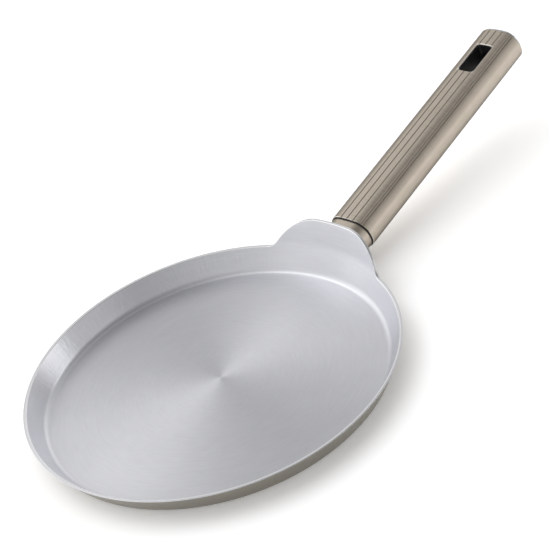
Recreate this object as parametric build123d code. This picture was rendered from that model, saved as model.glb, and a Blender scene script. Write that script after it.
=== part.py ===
from build123d import *
from math import asin, cos, degrees, radians, sin, sqrt, tan
import os

# A crepe pan: a low flared dish pressed from one sheet, its wall raised into a tab at the handle,
# and an extruded, grooved grip bolted to a bracket behind that tab.
# Millimetres and degrees. Z is the dish's axis, z = 0 its underside, and the handle points along +X.

# Dish
rim_diameter = 240.0
rim_height = 16.2
sheet = 1.8
wall_slope = 60.0
knee_radius = 5.0

# Tab, the stretch of wall that rises above the rim in front of the handle
tab_rise = 18.3
tab_slope = 68.0
tab_bend_radius = 30.0
tab_width = 89.0
tab_flank_slope = 53.0
tab_shoulder_radius = 34.5
tab_root_radius = 7.0

# Handle axis, measured from the point where it crosses the rim's radius
handle_rise = 11.65
axis_height = 14.0
grip_start = 21.6

# Grip section and length
grip_length = 182.7
grip_width = 33.0
grip_height = 24.0
grip_crown_radius = 75.0
grip_side_radius = 60.0
grip_wall = 1.2
grip_end_bevel = 0.35

# The radius of the grip's corners, as a share of half its height
grip_corner_share = 0.91

# Grooves along the top of the grip, and a pair round each upper corner, turned from upright
groove_width = 0.9
groove_depth = 0.45
groove_pitch = 5.1
groove_pair_turn = 35.0
groove_pair_spacing = 2.0

# Hang slot through the grip
slot_length = 26.0
slot_width = 12.8
slot_corner_radius = 2.6
slot_to_end = 14.7
slot_bevel = 0.6
slot_bevel_slope = 45.0
slot_lip = 0.4

# Moulded inserts that plug the grip's two ends
insert_fit = 0.15
slot_insert_wall = 8.0
screw_head_cover = 2.0

# Collar between the tab and the grip
collar_inset = 0.9
collar_wall = 1.2
collar_web = 1.5
collar_ground_clearance = 4.2
collar_overlap = 16.0

# Heat ring between the collar and the grip
ring_thickness = 0.9
ring_inset = 0.35

# Bracket welded to the dish behind the tab
tongue_width = 20.0
tongue_height = 13.0
tongue_radius = 3.0
tongue_wall = 2.0
tongue_plate = 2.5
tongue_reach = 8.0
tongue_fit = 0.2
flange_width = 24.0
flange_height = 13.0
flange_radius = 3.0
flange_thickness = 1.5
socket_end_gap = 0.3

# Tie screw, its nut and washers
screw_diameter = 5.0
screw_head_diameter = 8.5
screw_head_height = 5.0
screw_socket_width = 4.0
screw_socket_depth = 2.6
screw_seat_depth = 42.0
screw_tail = 2.0
screw_clearance = 0.25
thread_clearance = 0.05
nut_width = 8.0
nut_height = 4.0
washer_diameter = 10.0
washer_thickness = 1.0
lock_washer_diameter = 8.8
lock_washer_thickness = 1.3
lock_washer_slit = 0.8
washer_clearance = 0.2

# Driver bore from the tail, and the crowned and bevelled cap that closes it
bore_diameter = 12.0
cap_thickness = 2.5
cap_crown_radius = 120.0
cap_bevel = 1.0
cap_inset = 0.4
cap_spigot_length = 11.0
cap_spigot_wall = 1.5
cap_spigot_fit = 0.1

# How far a cutting shape runs past what it cuts
overrun = 5.0

rim_radius = rim_diameter / 2
base_radius = rim_radius - rim_height / tan(radians(wall_slope))
tab_top = rim_height + tab_rise
collar_end = grip_start - ring_thickness
grip_end = grip_start + grip_length
grip_corner_radius = grip_corner_share * grip_height / 2
tongue_end = grip_start + tongue_reach
nut_end = tongue_end - tongue_plate
screw_seat = grip_start + screw_seat_depth
screw_head_start = screw_seat + washer_thickness + lock_washer_thickness
screw_head_end = screw_head_start + screw_head_height
socket_insert_end = screw_head_end + screw_head_cover
slot_centre = grip_end - slot_to_end - slot_length / 2
slot_insert_start = slot_centre - slot_length / 2 - slot_insert_wall

# Where the collar and the tongue start before the dish's wall trims them, well inside the rim
heel = collar_end - collar_overlap - tab_rise

# The handle's own frame: x across it, y up, z along it towards the tail
handle_frame = Plane(
    origin=(rim_radius, 0, axis_height),
    x_dir=(0, 1, 0),
    z_dir=(cos(radians(handle_rise)), 0, sin(radians(handle_rise))),
).location


# Dish
def dish_path(inward):
    """The dish's half section, moved inward from the outside skin, from its axis to above the tab."""
    knee_outside = knee_radius + sheet
    bend_outside = tab_bend_radius + sheet
    wall = Vector(cos(radians(wall_slope)), sin(radians(wall_slope)))
    raised = Vector(cos(radians(tab_slope)), sin(radians(tab_slope)))
    knee = Vector(base_radius, 0)
    bend = Vector(rim_radius, rim_height) + wall * bend_outside * tan(radians((tab_slope - wall_slope) / 2))
    top = bend + raised * (tab_rise + overrun)

    def moved(corner, heading):
        """The corner moved inward, square to the stretch that leaves it with this heading."""
        return corner + Vector(-heading.Y, heading.X) * inward

    def mitre(corner, heading, turn):
        """The corner moved inward, where the stretches on both sides of it move inward together."""
        return moved(corner, heading) + heading * inward * tan(radians(turn / 2))

    points = [
        Vector(0, inward),
        mitre(knee, wall, wall_slope),
        mitre(bend, raised, tab_slope - wall_slope),
        moved(top, raised),
    ]
    return FilletPolyline(*points, radius=[knee_outside - inward, bend_outside - inward])


def dish_envelope(outward=0.0):
    """Everything that the dish's outside skin encloses, up to above the tab."""
    skin = dish_path(-outward)
    start, end = skin @ 0, skin @ 1
    lid = Polyline((end.X, end.Y), (0, end.Y), (start.X, start.Y))
    return revolve(Plane.XZ * make_face(skin.edges() + lid.edges()), axis=Axis.Z)


def tab_prism():
    """The tab's outline seen along the handle, with the rim's level on each side of it, run along +X."""
    far = rim_diameter
    foot = tab_width / 2
    shoulder = foot - tab_rise / tan(radians(tab_flank_slope))
    outline = FilletPolyline(
        (-far, rim_height),
        (-foot, rim_height),
        (-shoulder, tab_top),
        (shoulder, tab_top),
        (foot, rim_height),
        (far, rim_height),
        radius=[tab_root_radius, tab_shoulder_radius, tab_shoulder_radius, tab_root_radius],
    )
    below = Polyline((far, rim_height), (far, -overrun), (-far, -overrun), (-far, rim_height))
    return extrude(Plane.YZ * make_face(outline.edges() + below.edges()), amount=far)


def make_dish():
    """The pressed sheet: floor, flared wall and tab, trimmed level at the rim."""
    outside = dish_path(0.0)
    inside = dish_path(sheet)
    axis_edge = Line(outside @ 0, inside @ 0)
    top_edge = Line(outside @ 1, inside @ 1)
    edges = outside.edges() + top_edge.edges() + inside.edges() + axis_edge.edges()
    pressing = revolve(Plane.XZ * make_face(edges), axis=Axis.Z)
    above = Pos(0, 0, rim_height) * Cylinder(
        rim_diameter,
        tab_rise + rim_diameter,
        align=(Align.CENTER, Align.CENTER, Align.MIN),
    )
    return pressing - (above - tab_prism())


# Handle sections
def grip_centres():
    """The centres of the grip outline's upper crown, right side and the corner arc between them."""
    crown_centre = Vector(0, grip_height / 2 - grip_crown_radius)
    side_centre = Vector(grip_width / 2 - grip_side_radius, 0)
    crown_reach = grip_crown_radius - grip_corner_radius
    side_reach = grip_side_radius - grip_corner_radius
    link = side_centre - crown_centre
    along = (crown_reach**2 - side_reach**2 + link.length**2) / (2 * link.length)
    across = sqrt(crown_reach**2 - along**2)
    toward = link.normalized()
    return crown_centre, side_centre, crown_centre + toward * along + Vector(toward.Y, -toward.X) * across


def grip_section(inset=0.0):
    """The grip's outline, crowned above and below, with fuller sides and round corners, set in by inset."""
    crown_centre, side_centre, corner_centre = grip_centres()
    to_crown = (corner_centre - crown_centre).normalized()
    to_side = (corner_centre - side_centre).normalized()
    radius = grip_corner_radius - inset
    crown_end = corner_centre + to_crown * radius
    side_end = corner_centre + to_side * radius
    corner_middle = corner_centre + (to_crown + to_side).normalized() * radius
    crown = (0, grip_height / 2 - inset)
    side = (grip_width / 2 - inset, 0)

    def mirrored(point, right, up):
        """The point in one of the outline's four quarters."""
        return (point.X * right, point.Y * up)

    edges = []
    for up in (1, -1):
        left, right = mirrored(crown_end, -1, up), mirrored(crown_end, 1, up)
        edges.append(ThreePointArc(left, (0, crown[1] * up), right))
        for out in (1, -1):
            start, end = mirrored(crown_end, out, up), mirrored(side_end, out, up)
            edges.append(ThreePointArc(start, mirrored(corner_middle, out, up), end))
    for out in (1, -1):
        above, below = mirrored(side_end, out, 1), mirrored(side_end, out, -1)
        edges.append(ThreePointArc(above, (side[0] * out, 0), below))
    return make_face(edges)


def slot_prism(margin=0.0):
    """The hang slot, in the handle's frame, through the grip from top to bottom."""
    outline = RectangleRounded(
        slot_width - 2 * margin,
        slot_length - 2 * margin,
        slot_corner_radius - margin,
    )
    across = Plane(origin=(0, 0, slot_centre), x_dir=(1, 0, 0), z_dir=(0, 1, 0))
    return extrude(across * outline, amount=grip_height, both=True)


def slot_mouth(up):
    """The bevel of the hang slot's mouth: a funnel inward from the crown's top, or from underneath."""
    outline = RectangleRounded(
        slot_width + 2 * slot_bevel,
        slot_length + 2 * slot_bevel,
        slot_corner_radius + slot_bevel,
    )
    crown = Plane(origin=(0, up * grip_height / 2, slot_centre), x_dir=(1, 0, 0), z_dir=(0, -up, 0))
    depth = slot_bevel / tan(radians(slot_bevel_slope))
    return extrude(crown * outline, amount=depth, taper=slot_bevel_slope)


def run(outline, start, end):
    """The outline extruded along the handle between two places on its axis."""
    return extrude(Pos(0, 0, start) * outline, amount=end - start)


# Grip
def make_shell():
    """The extruded outer tube, with bevelled ends, its grooves and the bevelled hang slot."""
    tube = run(grip_section() - grip_section(grip_wall), grip_start, grip_end)
    ends = tube.faces().sort_by(Axis.Z)
    tube = chamfer(ends[0].outer_wire().edges() + ends[-1].outer_wire().edges(), grip_end_bevel)
    tube -= slot_prism() + slot_mouth(1) + slot_mouth(-1)
    half = groove_width / 2
    notch = make_face(
        Polyline(
            (-half, 0),
            (0, -groove_depth),
            (half, 0),
            (half, overrun),
            (-half, overrun),
            close=True,
        )
    )
    crown_centre, _, corner_centre = grip_centres()
    pitch_turn = degrees(asin(groove_pitch / grip_crown_radius))
    pair_turn = degrees(groove_pair_spacing / 2 / grip_corner_radius)
    spots = [(crown_centre, grip_crown_radius, turn) for turn in (-pitch_turn, 0, pitch_turn)]
    for side in (1, -1):
        centre = Vector(side * corner_centre.X, corner_centre.Y)
        turns = [side * (groove_pair_turn + step * pair_turn) for step in (-1, 1)]
        spots += [(centre, grip_corner_radius, turn) for turn in turns]
    for centre, radius, turn in spots:
        outline = Pos(centre.X, centre.Y) * Rot(0, 0, -turn) * Pos(0, radius) * notch
        tube -= run(outline, grip_start - overrun, grip_end + overrun)
    return tube


def make_socket_insert():
    """The moulded insert at the grip's front, with the tongue's socket, the screw's bore and its seat."""
    insert = run(grip_section(grip_wall + insert_fit), grip_start, socket_insert_end)
    insert -= run(tongue_opening(), grip_start - overrun, tongue_end + socket_end_gap)
    insert -= run(Circle(screw_diameter / 2 + screw_clearance), grip_start, screw_seat + overrun)
    return insert - run(Circle(bore_diameter / 2), screw_seat, socket_insert_end + overrun)


def make_slot_insert():
    """The moulded insert at the grip's tail, which lines the hang slot and has the driver bore."""
    insert = run(grip_section(grip_wall + insert_fit), slot_insert_start, grip_end)
    insert -= run(Circle(bore_diameter / 2), slot_insert_start - overrun, grip_end + overrun)
    return insert - slot_prism(slot_lip)


def make_cap():
    """The polished end cap, crowned across and bevelled, with a hollow spigot that plugs the driver bore."""
    cap_end = grip_end + cap_thickness
    crown = Plane(origin=(0, 0, cap_end - cap_crown_radius), x_dir=(1, 0, 0), z_dir=(0, 1, 0))
    crowned = extrude(crown * Circle(cap_crown_radius), amount=grip_height, both=True)
    plate = run(grip_section(cap_inset), grip_end, cap_end)
    plate = chamfer(plate.faces().sort_by(Axis.Z)[-1].edges(), cap_bevel) & crowned
    spigot = Circle(bore_diameter / 2 - cap_spigot_fit)
    hollow = Circle(bore_diameter / 2 - cap_spigot_fit - cap_spigot_wall)
    return plate + run(spigot - hollow, grip_end - cap_spigot_length, grip_end)


# Joint between the dish and the grip
def collar_form(wall, start, end):
    """The collar's form, set in by wall: the grip's section, cut level underneath beside the dish."""
    form = handle_frame * run(grip_section(collar_inset + wall), start, end)
    room = Pos(0, 0, collar_ground_clearance + wall) * Box(
        2 * (rim_diameter + grip_length),
        2 * grip_width,
        rim_diameter + grip_length,
        align=(Align.CENTER, Align.CENTER, Align.MIN),
    )
    return form & room


def tongue_opening():
    """The outline of each hole that the bracket's tongue passes through."""
    return RectangleRounded(
        tongue_width + 2 * tongue_fit,
        tongue_height + 2 * tongue_fit,
        tongue_radius + tongue_fit,
    )


def make_collar():
    """The ferrule between dish and grip: a tube against the dish's wall, closed by a web at the grip."""
    collar = collar_form(0.0, heel, collar_end)
    collar -= collar_form(collar_wall, heel - overrun, collar_end - collar_web)
    collar -= handle_frame * run(tongue_opening(), heel, collar_end + overrun)
    return collar - dish_envelope()


def make_ring():
    """The heat ring that keeps the grip off the collar."""
    outline = grip_section(ring_inset) - tongue_opening()
    return run(outline, collar_end, grip_start)


def make_bracket():
    """The pressed bracket: a flange that lies on the dish's wall and a tongue towards the grip."""
    outline = RectangleRounded(tongue_width, tongue_height, tongue_radius)
    hollow = RectangleRounded(
        tongue_width - 2 * tongue_wall,
        tongue_height - 2 * tongue_wall,
        tongue_radius - tongue_wall,
    )
    hole = run(hollow, heel - overrun, nut_end)
    tongue = run(outline, heel, tongue_end) - hole
    tongue -= run(Circle(screw_diameter / 2 + screw_clearance), heel, tongue_end + overrun)
    patch = run(RectangleRounded(flange_width, flange_height, flange_radius), heel, collar_end)
    skin = dish_envelope()
    flange = (handle_frame * (patch - hole)) & (dish_envelope(flange_thickness) - skin)
    return flange + (handle_frame * tongue - skin)


def make_nut():
    """The square nut welded inside the tongue's front plate."""
    outline = Rectangle(nut_width, nut_width) - Circle(screw_diameter / 2 + thread_clearance)
    return run(outline, nut_end - nut_height, nut_end)


def make_screw():
    """The long tie screw, with a socket head."""
    shank = run(Circle(screw_diameter / 2), nut_end - nut_height - screw_tail, screw_head_start)
    head = run(Circle(screw_head_diameter / 2), screw_head_start, screw_head_end)
    wrench = RegularPolygon(screw_socket_width / 2, 6, major_radius=False)
    return shank + head - run(wrench, screw_head_end - screw_socket_depth, screw_head_end + overrun)


def make_washer():
    """The plain washer on the socket insert's seat."""
    outline = Circle(washer_diameter / 2) - Circle(screw_diameter / 2 + washer_clearance)
    return run(outline, screw_seat, screw_seat + washer_thickness)


def make_lock_washer():
    """The split spring washer under the screw's head."""
    outline = Circle(lock_washer_diameter / 2) - Circle(screw_diameter / 2 + washer_clearance)
    outline -= Pos(lock_washer_diameter / 2, 0) * Rectangle(lock_washer_diameter, lock_washer_slit)
    start = screw_seat + washer_thickness
    return run(outline, start, start + lock_washer_thickness)


os.makedirs("parts", exist_ok=True)

parts = {
    "pan_body": make_dish(),
    "handle_bracket": make_bracket(),
    "handle_collar": make_collar(),
    "heat_ring": handle_frame * make_ring(),
    "handle_shell": handle_frame * make_shell(),
    "socket_insert": handle_frame * make_socket_insert(),
    "slot_insert": handle_frame * make_slot_insert(),
    "weld_nut": handle_frame * make_nut(),
    "tie_screw": handle_frame * make_screw(),
    "plain_washer": handle_frame * make_washer(),
    "lock_washer": handle_frame * make_lock_washer(),
    "end_cap": handle_frame * make_cap(),
}
for name, shape in parts.items():
    export_step(shape, f"parts/{name}.step")
    box = shape.bounding_box()
    print(name, round(shape.volume), [round(v, 2) for v in (*box.min, *box.max)])
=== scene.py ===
"""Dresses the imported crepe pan: a brushed steel dish, a champagne grip, a floor and soft studio light.

Metres and radians, in the model's frame: z = 0 is the dish's underside and the handle points along +X."""
import bpy
from math import atan2, copysign, cos, pi, radians, sin, sqrt, tan
from mathutils import Matrix, Vector


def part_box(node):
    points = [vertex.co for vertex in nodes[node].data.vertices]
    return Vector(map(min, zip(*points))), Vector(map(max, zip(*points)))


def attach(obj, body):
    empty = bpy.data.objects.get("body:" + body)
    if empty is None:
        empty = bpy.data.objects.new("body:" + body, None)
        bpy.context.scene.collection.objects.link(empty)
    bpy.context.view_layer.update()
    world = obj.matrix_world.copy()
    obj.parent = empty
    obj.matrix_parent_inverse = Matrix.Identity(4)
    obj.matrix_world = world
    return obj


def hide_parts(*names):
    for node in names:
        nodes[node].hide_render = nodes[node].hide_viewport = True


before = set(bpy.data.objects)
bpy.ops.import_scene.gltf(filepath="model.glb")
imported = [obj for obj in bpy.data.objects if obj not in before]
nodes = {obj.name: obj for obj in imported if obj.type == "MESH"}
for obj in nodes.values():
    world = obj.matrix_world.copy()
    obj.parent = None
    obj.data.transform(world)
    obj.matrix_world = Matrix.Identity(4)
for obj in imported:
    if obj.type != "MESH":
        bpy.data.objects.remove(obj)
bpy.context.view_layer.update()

MM = 0.001

# Camera: it looks at a point to the right of and above the middle of the dish's underside
camera_distance = 1.1077
camera_azimuth = radians(38.205)
camera_elevation = radians(34.091)
camera_roll = radians(-17.845)
aim_right = 0.03525
aim_up = 0.06658
focal_length = 117.9
sensor_width = 36.0
nearest_seen = 0.05
farthest_seen = 20.0

# Dish
dish_low, dish_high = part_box("pan_body")
rim_radius = -dish_low.x
rim_height = 16.2 * MM
tab_rise = dish_high.z - rim_height
sheet = 1.8 * MM
wall_slope = radians(60)
knee_radius = 5.0 * MM
tab_slope = radians(68)
tab_bend_radius = 30.0 * MM
tab_width = 89.0 * MM
tab_flank_slope = radians(53)
tab_shoulder_radius = 34.5 * MM
tab_root_radius = 7.0 * MM
edge_radius = 0.3 * MM

# Dish's mesh: rows up each skin, and columns round the rim, closer together over the tab
floor_rows = 10
knee_rows = 8
wall_rows = 22
edge_steps = 5
tab_reach = radians(27)
tab_columns = 108
rest_columns = 222
trim_halvings = 40

# Handle axis, from where it crosses the rim's radius, and the places along it
handle_rise = radians(11.65)
axis_height = 14.0 * MM
grip_start = 21.6 * MM
grip_length = 182.7 * MM
grip_end = grip_start + grip_length
handle_along = Vector((cos(handle_rise), 0, sin(handle_rise)))
handle_up = Vector((-sin(handle_rise), 0, cos(handle_rise)))
handle_start = Vector((rim_radius, 0, axis_height))

# Grip section, with its grooves and its shoulder ridge, and the hang slot
grip_width = 33.0 * MM
grip_height = 24.0 * MM
grip_crown_radius = 75.0 * MM
grip_side_radius = 60.0 * MM
grip_corner_share = 0.91
grip_corner_radius = grip_corner_share * grip_height / 2
groove_width = 0.9 * MM
groove_pitch = 5.1 * MM
grooves_reach = 1.5 * groove_pitch
ridge_turn = radians(35)
ridge_width = 0.6 * MM
slot_length = 26.0 * MM
slot_width = 12.8 * MM
slot_to_end = 14.7 * MM
slot_bevel = 0.6 * MM

# End cap
cap_thickness = 2.5 * MM
cap_crown_radius = 120.0 * MM
cap_inset = 0.4 * MM
cap_rounding = 1.8 * MM
cap_seam = 0.15 * MM
cap_columns = 96
cap_ring_shares = 0.25, 0.5, 0.75, 0.9
cap_rounding_steps = 6
cap_sharp_angle = radians(40)
spigot_radius = 5.9 * MM
spigot_wall = 1.5 * MM
spigot_length = 11.0 * MM

# Studio light, by direction in degrees: azimuth from +X towards +Y, and elevation. The room fades from
# room_level, where the cosine of the angle off the dim side is dim_side_edge, to dim_level in its middle.
dim_side = -70, 58
dim_side_edge = -0.4
room_level = 0.96
dim_level = 0.5

# Soft patches, named as seen from the camera: direction, the cosines of the angles off it at which a patch
# starts and is full, and what it adds to the room
studio_patches = {
    "dim_side_middle": (dim_side, 0.4, 1.0, -0.18),
    "right_low": ((-30, 14), 0.96, 0.995, 1.15),
    "far_left_high": ((95, 50), 0.94, 0.995, 0.8),
    "far_left_higher": ((110, 68), 0.93, 0.99, 0.25),
    "far_high_dark": ((59, 51), 0.96, 0.99, -0.18),
    "far_left_horizon": ((115, 3), 0.9, 0.98, 0.12),
    "left_low": ((155, 22), 0.85, 0.98, 0.08),
    "far_left_wide": ((100, 0), 0.77, 0.97, 0.25),
    "far_right_wide": ((25, 5), 0.82, 0.97, 0.3),
    "right_wide": ((-62, 5), 0.77, 0.97, 0.25),
    "far_left_high_wide": ((95, 40), 0.82, 0.97, 0.2),
    "right_top_dark": ((-15, 72), 0.82, 0.97, -0.1),
    "far_low_dark": ((62, 6), 0.91, 0.975, -0.36),
}

# Key lamp
key_direction = 80, 55
key_distance = 2.6
key_size = 5.0
key_power = 64.0

# Floor
floor_half_width = 4.0
floor_matte_level = 0.8
floor_glow = 0.18

# A noise's usual lowest and highest values
noise_low, noise_high = 0.3, 0.7


# Camera
def make_camera():
    """The photograph's camera."""
    az, el, roll = camera_azimuth, camera_elevation, camera_roll
    back = Vector((-sin(az) * cos(el), -cos(az) * cos(el), sin(el)))
    level = (-back).cross(Vector((0, 0, 1))).normalized()
    upright = level.cross(-back)
    right = level * cos(roll) + upright * sin(roll)
    up = upright * cos(roll) - level * sin(roll)
    data = bpy.data.cameras.new("photo_camera")
    data.sensor_width = sensor_width
    data.lens = focal_length
    data.clip_start, data.clip_end = nearest_seen, farthest_seen
    camera = bpy.data.objects.new("photo_camera", data)
    bpy.context.scene.collection.objects.link(camera)
    place = back * camera_distance + right * aim_right + up * aim_up
    camera.matrix_world = Matrix.Translation(place) @ Matrix((right, up, back)).transposed().to_4x4()
    bpy.context.scene.camera = camera


# Materials
class Shader:
    """The node tree of a material or of the world, with short ways to add and join nodes."""

    def __init__(self, owner, output="ShaderNodeOutputMaterial"):
        owner.use_nodes = True
        self.owner = owner
        self.tree = owner.node_tree
        self.tree.nodes.clear()
        self.output = self.add(output)

    def add(self, kind, inputs=None, **settings):
        """A new node. Each input is a value or another node's output."""
        node = self.tree.nodes.new(kind)
        for key, value in settings.items():
            setattr(node, key, value)
        for key, value in (inputs or {}).items():
            if isinstance(value, bpy.types.NodeSocket):
                self.tree.links.new(value, node.inputs[key])
            else:
                node.inputs[key].default_value = value
        return node

    def place(self):
        """The place of a point of the surface at rest, in the model's frame."""
        return self.add("ShaderNodeTexCoord").outputs["Object"]

    def split(self, vector):
        """A vector's coordinates."""
        return self.add("ShaderNodeSeparateXYZ", {"Vector": vector}).outputs

    def join(self, **coordinates):
        """The vector with these coordinates X, Y and Z. One that isn't given is 0."""
        return self.add("ShaderNodeCombineXYZ", coordinates).outputs["Vector"]

    def math(self, operation, *values):
        """The output of a Math node."""
        return self.add("ShaderNodeMath", dict(enumerate(values)), operation=operation).outputs[0]

    def vector(self, operation, *values, output="Vector"):
        """The output of a Vector Math node."""
        node = self.add("ShaderNodeVectorMath", dict(enumerate(values)), operation=operation)
        return node.outputs[output]

    def measure(self, operation, *values):
        """The output of a Vector Math node that gives a number."""
        return self.vector(operation, *values, output="Value")

    def remap(self, value, low, high, to_low, to_high, fade="LINEAR"):
        """The value's range low to high, mapped to another range and held at its ends."""
        inputs = {"Value": value, "From Min": low, "From Max": high, "To Min": to_low, "To Max": to_high}
        return self.add("ShaderNodeMapRange", inputs, interpolation_type=fade).outputs["Result"]

    def spread(self, noise, to_low, to_high):
        """A noise's usual range, mapped to another range."""
        return self.remap(noise, noise_low, noise_high, to_low, to_high)

    def within(self, value, reach):
        """1 where the value is less than this reach away from 0, and 0 elsewhere."""
        return self.math("LESS_THAN", self.math("ABSOLUTE", value), reach)

    def noise(self, place, scale=1.0, detail=2.0, roughness=0.5):
        """A noise's factor at a place."""
        inputs = {"Vector": place, "Scale": scale, "Detail": detail, "Roughness": roughness}
        return self.add("ShaderNodeTexNoise", inputs).outputs["Fac"]

    def average(self, a, b, share):
        """The mean of a, with this share, and b."""
        return self.math("MULTIPLY_ADD", a, share, self.math("MULTIPLY", b, 1.0 - share))

    def blend(self, factor, a, b):
        """Colour a where the factor is 0, and b where it is 1. Each is a value or an output."""
        inputs = {"Factor": factor, "A": a, "B": b}
        return self.add("ShaderNodeMix", inputs, data_type="RGBA").outputs["Result"]

    def bump(self, height, strength, distance, **base):
        """The normal of a bumped surface, over the Normal that is given as its base."""
        inputs = {"Height": height, "Strength": strength, "Distance": distance, **base}
        return self.add("ShaderNodeBump", inputs).outputs["Normal"]

    def finish(self, **inputs):
        """Ends the material in a Principled shader. Its inputs' names have _ for each space."""
        named = {key.replace("_", " "): value for key, value in inputs.items()}
        surface = self.add("ShaderNodeBsdfPrincipled", named)
        self.tree.links.new(surface.outputs["BSDF"], self.output.inputs["Surface"])
        return self.owner


def new_material(name):
    """A material's empty node tree."""
    return Shader(bpy.data.materials.new(name))


def tone(red, green=None, blue=None):
    """A colour with full alpha, which is grey where only one level is given."""
    return (red, red if green is None else green, red if blue is None else blue, 1.0)


def ring_brushed_steel():
    """Bare steel, brushed in rings round the dish's axis, and slightly wavy above its floor."""
    dark, light = tone(0.65, 0.655, 0.69), tone(0.79, 0.795, 0.83)
    streak_share = 0.55
    wave_on_floor = 0.25
    wavy_height = 4 * sheet
    s = new_material("ring_brushed_steel")
    place = s.place()
    x, y, z = s.split(place)
    flat = s.join(X=x, Y=y)
    out_and_up = s.math("ADD", s.measure("LENGTH", flat), z)
    heading_x, heading_y, _ = s.split(s.vector("NORMALIZE", flat))
    rings = s.join(X=heading_x, Y=heading_y, Z=out_and_up)

    def ring_noise(around, across, **settings):
        """A noise drawn out in rings, of so many cells to a radian around and to a metre across."""
        return s.noise(s.vector("MULTIPLY", rings, (around, around, across)), **settings)

    grain = ring_noise(around=2.0, across=2200.0, detail=3.0, roughness=0.6)
    streak = ring_noise(around=6.0, across=660.0)
    wave = ring_noise(around=48.0, across=90.0, detail=3.0, roughness=0.6)
    cloud = s.noise(place, scale=28.0)
    wave = s.math("MULTIPLY", wave, s.remap(z, sheet, wavy_height, wave_on_floor, 1.0))
    scratched = s.bump(grain, strength=0.12, distance=0.02 * MM)
    return s.finish(
        Base_Color=s.blend(s.average(streak, cloud, streak_share), dark, light),
        Metallic=1.0,
        Roughness=s.spread(grain, 0.28, 0.35),
        Anisotropic=0.75,
        Anisotropic_Rotation=0.25,
        Tangent=s.add("ShaderNodeTangent", direction_type="RADIAL", axis="Z").outputs["Tangent"],
        Normal=s.bump(wave, strength=0.5, distance=0.3 * MM, Normal=scratched),
    )


def edge_highlight_steel():
    """Bare steel, bright, along the inner half of the dish's cut edge: its lighter tone is a painted
    highlight.
    """
    # Lighter than the brushed wall, as a painted highlight along the edge
    dark, light = tone(0.86, 0.86, 0.875), tone(0.95, 0.95, 0.96)
    s = new_material("edge_highlight_steel")
    haze = s.noise(s.place(), scale=400.0, detail=3.0)
    return s.finish(
        Base_Color=s.blend(haze, dark, light),
        Metallic=1.0,
        Roughness=s.spread(haze, 0.16, 0.24),
    )


def champagne_coating_with_painted_shade():
    """The champagne coating on the dish's outside, finely speckled, and darker than the grip's champagne as
    painted shade.
    """
    # A darker champagne than the grip's: painted shade for the dish's outside wall
    dark, light = tone(0.28, 0.26, 0.222), tone(0.33, 0.306, 0.262)
    s = new_material("champagne_coating_with_painted_shade")
    place = s.place()
    speckle = s.noise(place, scale=2500.0)
    cloud = s.noise(place, scale=30.0)
    return s.finish(
        Base_Color=s.blend(cloud, dark, light),
        Metallic=0.75,
        Roughness=s.spread(speckle, 0.36, 0.44),
        Normal=s.bump(speckle, strength=0.15, distance=0.02 * MM),
    )


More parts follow.
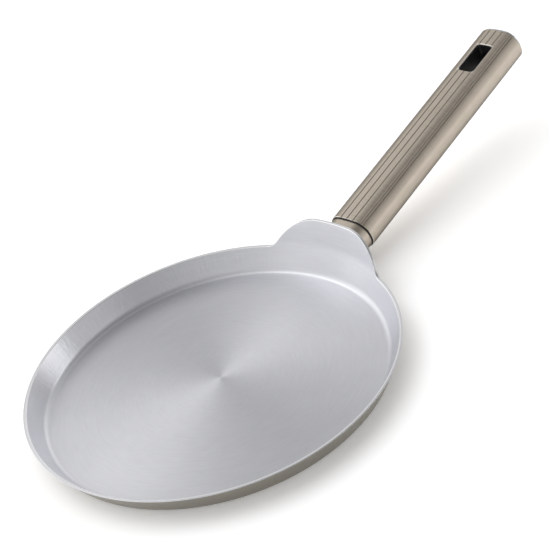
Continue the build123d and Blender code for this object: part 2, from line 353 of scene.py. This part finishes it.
def champagne_grip():
    """Champagne aluminium with a fine grain across the handle.

    It is bare and lighter where its ends and its slot were cut, which also serves as a painted highlight on
    their bevels; a painted highlight runs along its shoulder, and painted shade darkens its grooves.
    The tint for what it reflects edge-on keeps its outline dark."""
    dark, light = tone(0.45, 0.395, 0.33), tone(0.62, 0.55, 0.465)
    # The bare tone is the cut metal's own and also serves as a painted highlight on the bevels and the
    # shoulder ridge; the groove tone is painted shade
    bare, groove_painted_shade = tone(0.80, 0.755, 0.69), tone(0.10, 0.08, 0.06)
    edge_on_tint = tone(0.18, 0.20, 0.24)
    ridge_highlight_share = 0.8
    groove_shade_share = 0.4
    cut_face_lean = 0.35
    cut_roughness_share = 0.5
    grain_along, grain_across = 3600.0, 60.0
    s = new_material("champagne_grip")
    place = s.place()
    normal = s.add("ShaderNodeNewGeometry").outputs["Normal"]
    local = s.vector("SUBTRACT", place, handle_start)
    along = s.measure("DOT_PRODUCT", local, handle_along)
    above = s.measure("DOT_PRODUCT", local, handle_up)
    across = s.split(place)["Y"]
    aside = s.math("ABSOLUTE", across)
    grain = s.noise(s.vector("MULTIPLY", s.join(X=along, Y=across), (grain_along, grain_across, 0.0)))
    cloud = s.noise(place, scale=160.0, detail=4.0, roughness=0.6)

    # The slot and its bevels take the bare tone, partly as a painted highlight along the bevels
    slot_middle = grip_end - slot_to_end - slot_length / 2
    beside = s.within(across, slot_width / 2 + slot_bevel)
    abreast = s.within(s.math("SUBTRACT", along, slot_middle), slot_length / 2 + slot_bevel)
    in_slot = s.math("MULTIPLY", beside, abreast)
    lean = s.math("ABSOLUTE", s.measure("DOT_PRODUCT", normal, handle_along))
    cut = s.math("MAXIMUM", in_slot, s.math("GREATER_THAN", lean, cut_face_lean))

    # A painted highlight along the shoulder ridge, between its pair of grooves, given the bare tone through
    # the cut mask
    on_grip = s.math("GREATER_THAN", along, grip_start)
    on_top = s.math("MULTIPLY", s.math("GREATER_THAN", above, 0.0), on_grip)
    off_ridge = s.math("SUBTRACT", aside, section_point(ridge_turn, 0.0).x)
    on_ridge = s.math("MULTIPLY", s.within(off_ridge, ridge_width / 2), on_top)
    cut = s.math("MAXIMUM", cut, s.math("MULTIPLY", on_ridge, ridge_highlight_share))

    # The distance from the nearest multiple of the pitch, where a groove has its middle
    off_groove = s.math("PINGPONG", aside, groove_pitch / 2)
    in_groove = s.math("MULTIPLY", s.within(off_groove, groove_width / 2), on_top)
    in_groove = s.math("MULTIPLY", in_groove, s.within(aside, grooves_reach))

    coated = s.blend(s.average(grain, cloud, share=0.5), dark, light)
    # Painted shade darkens the grooves
    grooved = s.blend(s.math("MULTIPLY", in_groove, groove_shade_share), coated, groove_painted_shade)
    smoothed = s.remap(cut, 0.0, 1.0, 1.0, cut_roughness_share)
    return s.finish(
        Base_Color=s.blend(cut, grooved, bare),
        Metallic=0.9,
        Specular_Tint=edge_on_tint,
        Roughness=s.math("MULTIPLY", s.spread(grain, 0.27, 0.33), smoothed),
        Anisotropic=0.5,
        Anisotropic_Rotation=0.25,
        Tangent=s.vector("CROSS_PRODUCT", normal, handle_along),
        Normal=s.bump(grain, strength=0.06, distance=0.03 * MM),
    )


def black_moulding():
    """Black moulded plastic with a fine matte texture."""
    dark, light = tone(0.008), tone(0.014)
    s = new_material("black_moulding")
    place = s.place()
    fine = s.noise(place, scale=3000.0)
    cloud = s.noise(place, scale=60.0)
    return s.finish(
        Base_Color=s.blend(cloud, dark, light),
        Roughness=s.spread(fine, 0.42, 0.55),
        Specular_IOR_Level=0.25,
        Normal=s.bump(fine, strength=0.25, distance=0.02 * MM),
    )


def polished_chrome():
    """Mirror polish with the faintest haze."""
    dark, light = tone(0.55, 0.555, 0.57), tone(0.61, 0.615, 0.63)
    s = new_material("polished_chrome")
    haze = s.noise(s.place(), scale=150.0, detail=3.0)
    return s.finish(
        Base_Color=s.blend(haze, dark, light),
        Metallic=1.0,
        Roughness=s.spread(haze, 0.03, 0.07),
    )


def zinc_plating():
    """Zinc plate on the hidden fasteners."""
    dark, light = tone(0.5, 0.5, 0.51), tone(0.66, 0.66, 0.68)
    s = new_material("zinc_plating")
    patches = s.noise(s.place(), scale=900.0, detail=3.0)
    return s.finish(
        Base_Color=s.blend(patches, dark, light),
        Metallic=1.0,
        Roughness=s.spread(patches, 0.3, 0.5),
        Normal=s.bump(patches, strength=0.1, distance=0.02 * MM),
    )


# Dish
class Skin:
    """One skin of the sheet, this far inward of the outside: its half profile, by length from the axis."""

    def __init__(self, inward):
        wall = Vector((cos(wall_slope), sin(wall_slope)))
        raised = Vector((cos(tab_slope), sin(tab_slope)))
        turn = tab_slope - wall_slope
        knee_arc = knee_radius + sheet - inward
        bend_arc = tab_bend_radius + sheet - inward
        foot = Vector((rim_radius - rim_height / tan(wall_slope), 0))
        bend = Vector((rim_radius, rim_height)) + wall * (tab_bend_radius + sheet) * tan(turn / 2)
        knee = foot + Vector((-tan(wall_slope / 2), 1)) * inward
        bend += Vector((-wall.y, wall.x)) * inward + wall * -inward * tan(turn / 2)
        self.floor = knee.x - knee_arc * tan(wall_slope / 2)
        knee_end = knee + wall * knee_arc * tan(wall_slope / 2)
        bend_start = bend - wall * bend_arc * tan(turn / 2)
        self.knee_end = self.floor + knee_arc * wall_slope
        # Each run: its length, where it starts, its heading there and how fast that turns
        self.runs = [
            (self.floor, Vector((0, inward)), 0.0, 0.0),
            (knee_arc * wall_slope, Vector((self.floor, inward)), 0.0, 1 / knee_arc),
            ((bend_start - knee_end).length, knee_end, wall_slope, 0.0),
            (bend_arc * turn, bend_start, wall_slope, 1 / bend_arc),
            (rim_radius, bend + raised * bend_arc * tan(turn / 2), tab_slope, 0.0),
        ]

    def at(self, length):
        """The radius and height at a length along the profile."""
        for run, start, heading, curl in self.runs:
            if length <= run:
                break
            length -= run
        if not curl:
            return start + Vector((cos(heading), sin(heading))) * length
        turned = heading + curl * length
        return start + Vector((sin(turned) - sin(heading), cos(heading) - cos(turned))) / curl


def tab_level(y):
    """The height at which the sheet is trimmed, on the handle's side, at this place across."""
    top = rim_height + tab_rise
    foot = tab_width / 2
    shoulder = foot - tab_rise / tan(tab_flank_slope)
    crown = tab_shoulder_radius * tan(tab_flank_slope / 2)
    root = tab_root_radius * tan(tab_flank_slope / 2)
    y = abs(y)
    if y < shoulder - crown:
        return top
    if y < shoulder + crown * cos(tab_flank_slope):
        return top - tab_shoulder_radius + sqrt(tab_shoulder_radius**2 - (y - shoulder + crown) ** 2)
    if y < foot - root * cos(tab_flank_slope):
        return top - (y - shoulder) * tan(tab_flank_slope)
    if y < foot + root:
        return rim_height + tab_root_radius - sqrt(tab_root_radius**2 - (foot + root - y) ** 2)
    return rim_height


def trim_length(skin, angle):
    """The length along the skin's profile at which the trim cuts it, found by halving."""
    low, high = skin.knee_end, skin.knee_end + 2 * (rim_height + tab_rise)
    for _ in range(trim_halvings):
        middle = (low + high) / 2
        radius, height = skin.at(middle)
        level = tab_level(radius * sin(angle)) if cos(angle) > 0 else rim_height
        low, high = (middle, high) if height < level else (low, middle)
    return low


def spun(point, angle):
    """A point of the profile, turned round the dish's axis."""
    return Vector((point[0] * cos(angle), point[0] * sin(angle), point[1]))


def climb(skin, angle, stop):
    """Points up one skin, from near the axis to the length where its rounded edge starts."""
    knee = skin.knee_end - skin.floor
    wall = stop - skin.knee_end
    lengths = [skin.floor * i / floor_rows for i in range(1, floor_rows)]
    lengths += [skin.floor + knee * i / knee_rows for i in range(knee_rows + 1)]
    lengths += [skin.knee_end + wall * i / wall_rows for i in range(1, wall_rows + 1)]
    return [spun(skin.at(length), angle) for length in lengths]


def edge_arc(corner, start, end):
    """Points round a corner, from start to end."""
    back, on = start - corner, end - corner
    turns = [pi / 2 * i / edge_steps for i in range(edge_steps + 1)]
    return [corner + back * (1 - sin(turn)) + on * (1 - cos(turn)) for turn in turns]


def make_dish():
    """The pressed dish with its tab: bare inside, coated outside, and rounded along its cut edge.

    The edge has a lighter steel, a painted highlight, from its inner rounding to its middle, and is coated
    from halfway round the outer one."""
    brushed, coated, bright = range(3)
    angles = [tab_reach * (2 * i / tab_columns - 1) for i in range(tab_columns)]
    angles += [tab_reach + (2 * pi - 2 * tab_reach) * i / rest_columns for i in range(rest_columns)]
    skins = Skin(sheet), Skin(0.0)
    verts = []
    for angle in angles:
        trims = [trim_length(skin, angle) for skin in skins]
        inner_corner, outer_corner = [spun(skin.at(trim), angle) for skin, trim in zip(skins, trims)]
        inner, outer = [climb(skin, angle, trim - edge_radius) for skin, trim in zip(skins, trims)]
        across = (outer_corner - inner_corner).normalized() * edge_radius
        inner_arc = edge_arc(inner_corner, inner[-1], inner_corner + across)
        outer_arc = edge_arc(outer_corner, outer_corner - across, outer[-1])
        middle = (inner_arc[-1] + outer_arc[0]) / 2
        verts += inner[:-1] + inner_arc + [middle] + outer_arc + outer[-2::-1]
    rows = len(verts) // len(angles)
    bright_from = len(inner)
    bright_to = bright_from + len(inner_arc)
    coated_from = bright_to + 1 + len(outer_arc) // 2
    # Rows of the edge's inner half take the lighter steel, a painted highlight
    column = [brushed] * bright_from + [bright] * (bright_to - bright_from)
    column += [brushed] * (coated_from - bright_to) + [coated] * (rows + 1 - coated_from)

    top_centre, bottom_centre = len(verts), len(verts) + 1
    verts += [Vector((0, 0, sheet)), Vector((0, 0, 0))]
    faces = []
    for i in range(len(angles)):
        here, there = i * rows, (i + 1) % len(angles) * rows
        faces.append((top_centre, here, there))
        faces += [(here + j, here + j + 1, there + j + 1, there + j) for j in range(rows - 1)]
        faces.append((here + rows - 1, bottom_centre, there + rows - 1))
    dish = make_piece("dish", verts, faces, [ring_brushed_steel(), champagne_coating_with_painted_shade(), edge_highlight_steel()])
    dish.data.polygons.foreach_set("material_index", column * len(angles))
    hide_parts("pan_body")


# End cap
def section_point(turn, inset):
    """The point of the grip's outline, set in, where its normal is turned this far from upright."""
    crown_centre = Vector((0, grip_height / 2 - grip_crown_radius))
    side_centre = Vector((grip_width / 2 - grip_side_radius, 0))
    crown_reach = grip_crown_radius - grip_corner_radius
    side_reach = grip_side_radius - grip_corner_radius
    link = side_centre - crown_centre
    along = (crown_reach**2 - side_reach**2 + link.length**2) / (2 * link.length)
    out = link.normalized()
    corner = crown_centre + out * along + Vector((out.y, -out.x)) * sqrt(crown_reach**2 - along**2)
    normal = Vector((abs(sin(turn)), abs(cos(turn))))
    tilt = atan2(normal.x, normal.y)
    centre, radius = corner, grip_corner_radius
    if tilt < atan2(*(corner - crown_centre)):
        centre, radius = crown_centre, grip_crown_radius
    elif tilt > atan2(*(corner - side_centre)):
        centre, radius = side_centre, grip_side_radius
    point = centre + normal * (radius - inset)
    return Vector((copysign(point.x, sin(turn)), copysign(point.y, cos(turn))))


def make_cap():
    """The polished end cap: crowned across, rounded at its edge, with its hollow spigot."""
    turns = [2 * pi * (i + 0.5) / cap_columns for i in range(cap_columns)]
    edge = cap_inset + cap_rounding

    def crown(point):
        """The crown's height along the handle at a point across the cap."""
        return grip_end + cap_thickness - cap_crown_radius + sqrt(cap_crown_radius**2 - point.x**2)

    rings = [[(section_point(turn, edge) * share, 0.0) for turn in turns] for share in cap_ring_shares]
    for i in range(cap_rounding_steps + 1):
        bend = pi / 2 * i / cap_rounding_steps
        inset, drop = cap_inset + cap_rounding * (1 - sin(bend)), cap_rounding * (1 - cos(bend))
        rings.append([(section_point(turn, inset), drop) for turn in turns])
    rings = [[(point.x, point.y, crown(point) - drop) for point, drop in ring] for ring in rings]
    for inset, lift in ((cap_inset, cap_seam), (cap_inset + cap_seam, 0.0)):
        rings.append([(*section_point(turn, inset), grip_end + lift) for turn in turns])
    for radius, depth in (
        (spigot_radius, 0.0),
        (spigot_radius, spigot_length),
        (spigot_radius - spigot_wall, spigot_length),
        (spigot_radius - spigot_wall, 0.0),
    ):
        rings.append([(radius * sin(turn), radius * cos(turn), grip_end - depth) for turn in turns])
    points = [(0, 0, grip_end + cap_thickness)]
    points += [point for ring in rings for point in ring] + [(0, 0, grip_end)]
    verts = [handle_start + Vector((0, x, 0)) + handle_up * y + handle_along * z for x, y, z in points]

    last = len(verts) - 1
    faces = []
    for i in range(cap_columns):
        j = (i + 1) % cap_columns
        faces.append((0, 1 + j, 1 + i))
        for k in range(len(rings) - 1):
            low = 1 + k * cap_columns
            faces.append((low + i, low + j, low + cap_columns + j, low + cap_columns + i))
        faces.append((last - cap_columns + i, last - cap_columns + j, last))
    cap = make_piece("cap", verts, faces, [polished_chrome()])
    cap.data.set_sharp_from_angle(angle=cap_sharp_angle)
    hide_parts("end_cap")


def make_piece(name, verts, faces, materials):
    """A smooth piece that stays with the pan."""
    mesh = bpy.data.meshes.new(name)
    mesh.from_pydata([tuple(v) for v in verts], [], faces)
    mesh.polygons.foreach_set("use_smooth", [True] * len(faces))
    for material in materials:
        mesh.materials.append(material)
    mesh.update()
    piece = bpy.data.objects.new(name, mesh)
    bpy.context.scene.collection.objects.link(piece)
    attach(piece, "root")
    return piece


def paint(material, *names):
    """Gives these CAD nodes their finish."""
    for name in names:
        data = nodes[name].data
        data.materials.clear()
        data.materials.append(material)


# Stage
def make_floor():
    """A pale floor that shows white to the camera and to metal, and keeps the pan's shadow."""
    s = new_material("pale_floor")
    path = s.add("ShaderNodeLightPath").outputs
    seen = s.math("MAXIMUM", path["Is Camera Ray"], path["Is Glossy Ray"])
    seen = s.math("MAXIMUM", seen, path["Is Transmission Ray"])
    matte = s.add("ShaderNodeBsdfDiffuse", {"Color": s.blend(seen, tone(floor_matte_level), tone(1.0))})
    strength = s.math("MULTIPLY", seen, floor_glow)
    glow = s.add("ShaderNodeEmission", {"Color": tone(1.0), "Strength": strength})
    both = s.add("ShaderNodeAddShader", {0: matte.outputs[0], 1: glow.outputs[0]})
    s.tree.links.new(both.outputs[0], s.output.inputs["Surface"])
    half = floor_half_width
    corners = [(-half, -half, 0), (half, -half, 0), (half, half, 0), (-half, half, 0)]
    mesh = bpy.data.meshes.new("floor")
    mesh.from_pydata(corners, [], [(0, 1, 2, 3)])
    mesh.materials.append(s.owner)
    floor = bpy.data.objects.new("floor", mesh)
    bpy.context.scene.collection.objects.link(floor)


def toward(azimuth, elevation):
    """The direction at this azimuth from +X towards +Y, and this elevation, both in degrees."""
    az, el = radians(azimuth), radians(elevation)
    return Vector((cos(az) * cos(el), sin(az) * cos(el), sin(el)))


def make_world():
    """A white studio, dimmer above and to the right of the camera, with soft patches round the pan.

    The camera itself sees it plain white."""
    s = Shader(bpy.data.worlds.new("studio"), "ShaderNodeOutputWorld")
    bpy.context.scene.world = s.owner
    heading = s.add("ShaderNodeTexCoord").outputs["Generated"]
    near_dim_side = s.measure("DOT_PRODUCT", heading, toward(*dim_side))
    total = s.remap(near_dim_side, dim_side_edge, 1.0, room_level, dim_level)
    for direction, starts, is_full, adds in studio_patches.values():
        near = s.measure("DOT_PRODUCT", heading, toward(*direction))
        total = s.math("ADD", total, s.remap(near, starts, is_full, 0.0, adds, fade="SMOOTHSTEP"))
    seen = s.add("ShaderNodeLightPath").outputs["Is Camera Ray"]
    level = s.add("ShaderNodeMix", {"Factor": seen, "A": total, "B": 1.0}).outputs["Result"]
    background = s.add("ShaderNodeBackground", {"Color": tone(1.0), "Strength": level})
    s.tree.links.new(background.outputs[0], s.output.inputs["Surface"])


def make_lamp(name, direction, distance, size, power):
    """A square soft box that faces the pan and doesn't show in what shines."""
    data = bpy.data.lights.new(name, "AREA")
    data.shape = "SQUARE"
    data.size = size
    data.energy = power
    lamp = bpy.data.objects.new(name, data)
    bpy.context.scene.collection.objects.link(lamp)
    lamp.visible_glossy = False
    lamp.location = direction * distance
    lamp.rotation_euler = direction.to_track_quat("Z", "Y").to_euler()


make_camera()
make_dish()
make_cap()
paint(champagne_grip(), "handle_collar", "handle_shell")
paint(black_moulding(), "heat_ring", "socket_insert", "slot_insert")
paint(zinc_plating(), "handle_bracket", "weld_nut", "tie_screw", "plain_washer", "lock_washer")
make_floor()
make_world()
make_lamp("key", toward(*key_direction), key_distance, key_size, key_power)

bpy.context.scene.view_settings.view_transform = "Standard"
